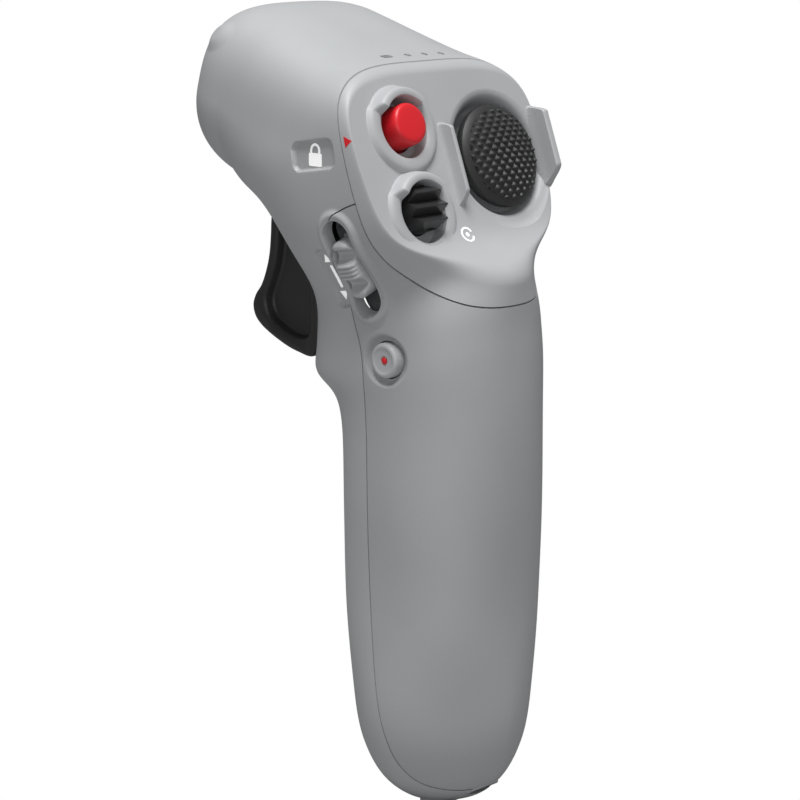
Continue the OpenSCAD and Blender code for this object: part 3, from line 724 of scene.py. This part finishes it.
KEY_FOOT = 14.7
REC = left_frame(-KEY_FOOT, KEY_Y, KEY_Z)
record = lathe("record_key", REC, [(0, 0), (5.3, 0), (5.3, 0.7), (3.6, 0.7), (3.6, 4.25),
                                   (3.5, 4.6), (3.25, 4.82), (2.95, 4.9), (2.6, 4.86),
                                   (2.45, 4.72), (2.3, 4.68), (1.6, 4.62), (0.98, 4.58),
                                   (0.9, 4.4), (0.78, 4.3), (0, 4.3)], 128, 40)
dot = lathe("record_mark", REC, [(0, 4.3), (0.68, 4.3), (0.7, 4.55), (0.6, 4.66), (0, 4.7)],
            48, 50)
POWER = right_frame(KEY_FOOT, KEY_Y, KEY_Z)
power = lathe("power_key", POWER, [(0, 0), (5.3, 0), (5.3, 0.7), (3.6, 0.7), (3.6, 3.8),
                                   (3.5, 4.15), (3.25, 4.35), (2.9, 4.4), (1.6, 4.3),
                                   (0, 4.25)], 128, 40)


def dial_wheel():
    """The knurled wheel, bored for its axle. Its profile is radius, z and share of the knurl."""
    n = 360
    a = np.linspace(0, 2 * np.pi, n, endpoint=False)
    knurled = 0.28 * (0.5 - 0.5 * np.cos(a * 30))
    where = Local([DIAL_X, DIAL_Y, DIAL_Z], X, Y, Z)
    loops = []
    for r, z, k in ((1.26, -2.6, 0), (5.2, -2.6, 0), (5.75, -2.4, 0.4), (6.0, -2.0, 1),
                    (6.0, 2.0, 1), (5.75, 2.4, 0.4), (5.2, 2.6, 0), (1.26, 2.6, 0)):
        rr = r - knurled * k
        loops.append(where.put(np.stack([rr * np.cos(a), rr * np.sin(a), np.full(n, z)], 1)))
    loops = np.array(loops)
    faces = grid_faces(len(loops), n)[:-2]
    last = (len(loops) - 1) * n
    for j in range(n):
        faces.append([last + j, last + (j + 1) % n, (j + 1) % n, j])
    return outward(make("function_wheel", loops.reshape(-1, 3), faces, 40))


wheel = dial_wheel()

# ---- inlays, pictograms and small pieces -----------------------------------------------------


def surface_depth(where, x, y):
    """Height over a local frame of the outermost shell surface at a point."""
    dg = bpy.context.evaluated_depsgraph_get()
    start = where.put(np.array([x, y, 12.0])) * MM
    hit, loc, *_ = bpy.context.scene.ray_cast(dg, Vector(start), Vector(-where.z), distance=0.03)
    return float((np.array(loc) / MM - where.o) @ where.z) if hit else 0.0


# the CAD nodes are out of the way while the height of the shells is measured
for o in frame["nodes"].values():
    o.hide_viewport = True
bpy.context.view_layer.update()


def inlay(name, where, loops, lift=0.06, sink=0.5):
    """Flat shapes that follow the surface under them, as thin closed pieces."""
    verts, faces = [], []
    for loop in loops:
        loop = anticlockwise(np.asarray(loop, float))
        n, base = len(loop), len(verts)
        z = [surface_depth(where, p[0], p[1]) for p in loop]
        for dz in (lift, -sink):
            verts += [where.put(np.array([p[0], p[1], h + dz])) for p, h in zip(loop, z)]
        faces.append([base + i for i in range(n)])
        faces.append([base + n + i for i in range(n - 1, -1, -1)])
        for i in range(n):
            a, b = base + i, base + (i + 1) % n
            faces.append([b, a, a + n, b + n])
    return make(name, verts, faces, 30)


def stroke(points, w):
    """A line of width w as a closed loop."""
    p = np.asarray(points, float)
    t = np.gradient(p, axis=0)
    t /= np.linalg.norm(t, axis=1)[:, None]
    across = np.stack([-t[:, 1], t[:, 0]], 1) * w / 2
    return np.vstack([p + across, (p - across)[::-1]])


def arc(r, a0, a1, n=24, cy=0.0):
    """n points of an arc of radius r from a0 to a1 degrees, with its centre at cy."""
    a = np.radians(np.linspace(a0, a1, n))
    return np.stack([r * np.cos(a), cy + r * np.sin(a)], 1)


lock_sign = inlay("lock_sign", left_frame(-27.6, PADLOCK_Y, PADLOCK_Z), [
    rounded_box(3.6, 2.6, 0.35) + [0, -0.95],
    stroke([[-1.15, 0.3], [-1.15, 0.9]], 0.5),
    stroke([[1.15, 0.3], [1.15, 0.9]], 0.5),
    stroke(arc(1.15, 0, 180, 24, 0.9), 0.5)])
tilt_sign = inlay("tilt_sign", SLIDER, [
    [[TILT_SIGN_X, 3.5], [-8.15, 1.7], [-5.85, 1.7]],
    [[TILT_SIGN_X, -6.9], [-5.85, -5.1], [-8.15, -5.1]],
    rounded_box(0.7, 5.2, 0.25) + [TILT_SIGN_X, TILT_SIGN_Y]])
mode_sign = inlay("mode_sign", face_frame(-3.2, 17.8), [
    stroke(arc(1.45, 20, 340, 48), 0.38), rounded_box(0.9, 0.9, 0.44)])
# the pointer is laid in small triangles, so that it follows the bend of the surface
CORNERS = np.array([[-1.05, 0.95], [-0.45, -1.25], [1.05, 0.2]])
SPLIT = 6
tiles = []
for i in range(SPLIT):
    for j in range(SPLIT - i):
        first, second, third = [
            ((SPLIT - a - b) * CORNERS[0] + a * CORNERS[1] + b * CORNERS[2]) / SPLIT
            for a, b in ((i, j), (i + 1, j), (i, j + 1))]
        tiles.append([first, second, third])
        if i + j < SPLIT - 1:
            tiles.append([second, second + third - first, third])
marker = inlay("lock_pointer", left_frame(-27, 0.7, 142.4), tiles, 0.05)
lights = []
for k, (lx, ly, ra, rb) in enumerate(LIGHTS):
    where = Local([lx, ly, 157], X, Y, Z)
    z = max(surface_depth(where, ra + 0.8, 0), surface_depth(where, -ra - 0.8, 0))
    lights.append(loft(f"light_{k + 1}", where, stadium(2 * ra, 2 * rb - 0.05)[:, ::-1],
                       [(-0.02, z - 6), (-0.02, z - 0.12), (-0.12, z - 0.05)]))
for o in frame["nodes"].values():
    o.hide_viewport = False

# ---- materials -----------------------------------------------------------------------------------


def srgb(r, g, b):
    """A screen colour of 0 to 255 as a linear colour."""
    linear = [((c / 255 + 0.055) / 1.055) ** 2.4 if c > 10 else c / 255 / 12.92
              for c in (r, g, b)]
    return tuple(linear) + (1.0,)


def moulded(name, colour, rough=0.5, grain=3200.0, bump=0.12, vary=0.05, metal=0.0, coat=0.0):
    """Moulded plastic or metal: a fine grain, slow colour drift and a varying sheen."""
    drift = 42.0
    mat = bpy.data.materials.new(name)
    mat.use_nodes = True
    nt = mat.node_tree
    shader = nt.nodes["Principled BSDF"]
    coords = nt.nodes.new("ShaderNodeTexCoord")
    fine = nt.nodes.new("ShaderNodeTexNoise")
    fine.inputs["Scale"].default_value = grain
    fine.inputs["Detail"].default_value = 3.0
    slow = nt.nodes.new("ShaderNodeTexNoise")
    slow.inputs["Scale"].default_value = drift
    slow.inputs["Detail"].default_value = 2.0
    for node in (fine, slow):
        nt.links.new(coords.outputs["Object"], node.inputs["Vector"])
    ramp = nt.nodes.new("ShaderNodeValToRGB")
    c = np.array(colour[:3])
    for stop, place, factor in zip(ramp.color_ramp.elements, (0.3, 0.7), (1 - vary, 1 + vary)):
        stop.position = place
        stop.color = tuple(np.clip(c * factor, 0, 1)) + (1.0,)
    mix = nt.nodes.new("ShaderNodeMix")
    mix.inputs[0].default_value = 0.35
    nt.links.new(slow.outputs["Fac"], mix.inputs[2])
    nt.links.new(fine.outputs["Fac"], mix.inputs[3])
    nt.links.new(mix.outputs[0], ramp.inputs["Fac"])
    nt.links.new(ramp.outputs["Color"], shader.inputs["Base Color"])
    sheen = nt.nodes.new("ShaderNodeMapRange")
    sheen.inputs["To Min"].default_value = rough - 0.06
    sheen.inputs["To Max"].default_value = rough + 0.06
    nt.links.new(fine.outputs["Fac"], sheen.inputs["Value"])
    nt.links.new(sheen.outputs["Result"], shader.inputs["Roughness"])
    relief_node = nt.nodes.new("ShaderNodeBump")
    relief_node.inputs["Strength"].default_value = bump
    relief_node.inputs["Distance"].default_value = 0.0001
    nt.links.new(fine.outputs["Fac"], relief_node.inputs["Height"])
    nt.links.new(relief_node.outputs["Normal"], shader.inputs["Normal"])
    shader.inputs["Metallic"].default_value = metal
    shader.inputs["Coat Weight"].default_value = coat
    return mat


GREY = srgb(171, 173, 175)
MATS = {
    "head": moulded("head_grey", GREY, 0.5),
    "grip": moulded("grip_grey", srgb(165, 167, 169), 0.55, 2600.0, 0.2),
    "panel": moulded("panel_grey", srgb(173, 175, 177), 0.5),
    "control": moulded("control_grey", srgb(176, 178, 180), 0.45, 3600.0, 0.08),
    "trigger": moulded("trigger_black", srgb(33, 33, 34), 0.45, 3000.0, 0.15, 0.1),
    "button": moulded("button_black", srgb(46, 46, 47), 0.36, 3600.0, 0.1, 0.1),
    "rubber": moulded("stick_rubber", srgb(40, 40, 41), 0.5, 4200.0, 0.2, 0.12),
    "red": moulded("red_plastic", srgb(214, 30, 40), 0.4, 3600.0, 0.06, 0.05),
    "white": moulded("white_print", srgb(245, 245, 245), 0.5, 3600.0, 0.05, 0.02),
    # the tray under the slider is a lighter grey than its black plastic: painted light inside the
    # shaded slot
    "inner": moulded("slot_painted_light_grey", srgb(120, 121, 123), 0.6),
    "light": moulded("light_window", srgb(128, 129, 131), 0.35, 3600.0, 0.05, 0.05),
}


def paint(ob, mat, body, slot_name, *nodes):
    """Gives a piece its material and its body, and hides the CAD nodes that it replaces; slot_name is
    not used.
    """
    ob.data.materials.clear()
    ob.data.materials.append(MATS[mat])
    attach(ob, body)
    if nodes:
        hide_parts(*nodes)


paint(front, "head", "root", "head_grey", "front_shell")
paint(rear, "grip", "root", "grip_grey", "rear_grip_shell")
paint(panel, "panel", "root", "panel_grey", "face_panel", "joystick_well", "joystick_guards")
# the tray's grey is painted light inside the slot, laid over its black plastic
paint(liner, "inner", "root", "black_plastic", "slider_track")
paint(lock, "red", "lock_button", "red_plastic", "lock_button")
paint(mode, "button", "mode_button", "button_black", "mode_button")
paint(cap, "rubber", "joystick", "stick_rubber", "joystick_cap")
paint(trigger, "trigger", "trigger", "trigger_black", "trigger")
paint(knob, "control", "tilt_slider", "control_grey", "tilt_slider")
paint(record, "control", "record_button", "control_grey", "record_button")
paint(dot, "red", "record_button", "red_plastic", "record_dot")
paint(power, "control", "power_button", "control_grey", "power_button")
paint(wheel, "button", "function_dial", "button_black", "function_dial")
paint(marker, "red", "root", "red_plastic", "lock_marker")
paint(lock_sign, "white", "root", "light_pipe")
paint(tilt_sign, "white", "root", "light_pipe")
paint(mode_sign, "white", "root", "light_pipe")
for piece in lights:
    paint(piece, "light", "root", "light_pipe", "light_pipes")

# the print glows a little, as the light on it is not bright enough to show it white
white = MATS["white"].node_tree.nodes["Principled BSDF"]
white.inputs["Emission Color"].default_value = (1, 1, 1, 1)
white.inputs["Emission Strength"].default_value = 0.3

# The nodes that stay as they are get a material of their own slot.
LOOKS = {
    "black_plastic": dict(colour=srgb(40, 40, 42), rough=0.5),
    "port_steel": dict(colour=srgb(205, 206, 208), rough=0.3, metal=1.0, bump=0.05),
    "steel": dict(colour=srgb(190, 191, 194), rough=0.32, metal=1.0, bump=0.06),
    "board_green": dict(colour=srgb(30, 92, 52), rough=0.35, bump=0.08, coat=0.3),
    "switch_grey": dict(colour=srgb(95, 96, 98), rough=0.5),
    "inner_plastic": dict(colour=srgb(58, 58, 61), rough=0.5),
    "cell_wrap": dict(colour=srgb(70, 110, 160), rough=0.3, bump=0.05, coat=0.4),
    "flex_amber": dict(colour=srgb(175, 120, 45), rough=0.3, bump=0.05, coat=0.3),
    "button_black": dict(colour=srgb(26, 26, 27), rough=0.42),
}
slots = {part["node"]: part.get("material_slot") for part in frame["record"]["subparts"]}
kept = {}
for name, ob in frame["nodes"].items():
    slot_name = slots.get(name, "inner_plastic")
    if slot_name not in kept:
        look = LOOKS.get(slot_name, dict(colour=GREY))
        kept[slot_name] = moulded("cad_" + slot_name, **look)
    ob.data.materials.clear()
    ob.data.materials.append(MATS["head"] if name == "port_bezel" else kept[slot_name])

# ---- camera, floor and light ---------------------------------------------------------------

camera = bpy.data.objects.new("camera", bpy.data.cameras.new("camera"))
bpy.context.scene.collection.objects.link(camera)
az, el, reach = math.radians(47), math.radians(12.7), 497 * MM
back = Vector((-math.sin(az) * math.cos(el), -math.cos(az) * math.cos(el), math.sin(el)))
camera.location = Vector((0, 0, 84 * MM)) + back * reach
camera.rotation_euler = back.to_track_quat("Z", "Y").to_euler()
camera.data.lens = 108
camera.data.sensor_width = 36
camera.data.shift_x = -0.0575
camera.data.shift_y = 0.0169
camera.data.clip_start = 0.01
bpy.context.scene.camera = camera

FLOOR = 3000
ground = make("floor", [[-FLOOR, -FLOOR, 0], [FLOOR, -FLOOR, 0], [FLOOR, FLOOR, 0],
                        [-FLOOR, FLOOR, 0]], [[0, 1, 2, 3]])
ground.location.z = -0.0002
# the floor and the world light the object softly, and look white to the camera
fmat = bpy.data.materials.new("floor_white")
fmat.use_nodes = True
nt = fmat.node_tree
bsdf = nt.nodes["Principled BSDF"]
bsdf.inputs["Base Color"].default_value = (0.34, 0.34, 0.34, 1)
bsdf.inputs["Roughness"].default_value = 0.9
bsdf.inputs["Specular IOR Level"].default_value = 0.0
pale = nt.nodes.new("ShaderNodeEmission")
pale.inputs["Color"].default_value = (1, 1, 1, 1)
seen = nt.nodes.new("ShaderNodeLightPath")
pick = nt.nodes.new("ShaderNodeMixShader")
nt.links.new(seen.outputs["Is Camera Ray"], pick.inputs["Fac"])
nt.links.new(bsdf.outputs["BSDF"], pick.inputs[1])
nt.links.new(pale.outputs["Emission"], pick.inputs[2])
nt.links.new(pick.outputs["Shader"], nt.nodes["Material Output"].inputs["Surface"])
ground.data.materials.append(fmat)

world = bpy.data.worlds.new("studio")
bpy.context.scene.world = world
world.use_nodes = True
nt = world.node_tree
soft = nt.nodes["Background"]
soft.inputs["Color"].default_value = (1, 1, 1, 1)
soft.inputs["Strength"].default_value = 0.27
bright = nt.nodes.new("ShaderNodeBackground")
bright.inputs["Color"].default_value = (1, 1, 1, 1)
seen = nt.nodes.new("ShaderNodeLightPath")
pick = nt.nodes.new("ShaderNodeMixShader")
nt.links.new(seen.outputs["Is Camera Ray"], pick.inputs["Fac"])
nt.links.new(soft.outputs["Background"], pick.inputs[1])
nt.links.new(bright.outputs["Background"], pick.inputs[2])
nt.links.new(pick.outputs["Shader"], nt.nodes["World Output"].inputs["Surface"])


def lamp(name, at, target, size, power):
    """A round area light at a place in metres, turned to its target."""
    data = bpy.data.lights.new(name, "AREA")
    data.shape = "DISK"
    data.size = size
    data.energy = power
    ob = bpy.data.objects.new(name, data)
    ob.location = Vector(at)
    ob.rotation_euler = (Vector(at) - Vector(target)).to_track_quat("Z", "Y").to_euler()
    bpy.context.scene.collection.objects.link(ob)


lamp("key", (-0.25, -0.22, 1.25), (0, 0, 0.12), 0.6, 15.8)
lamp("front", (-0.85, -0.65, 0.3), (0, 0, 0.09), 0.5, 1.9)
bpy.context.scene.view_settings.view_transform = "Standard"
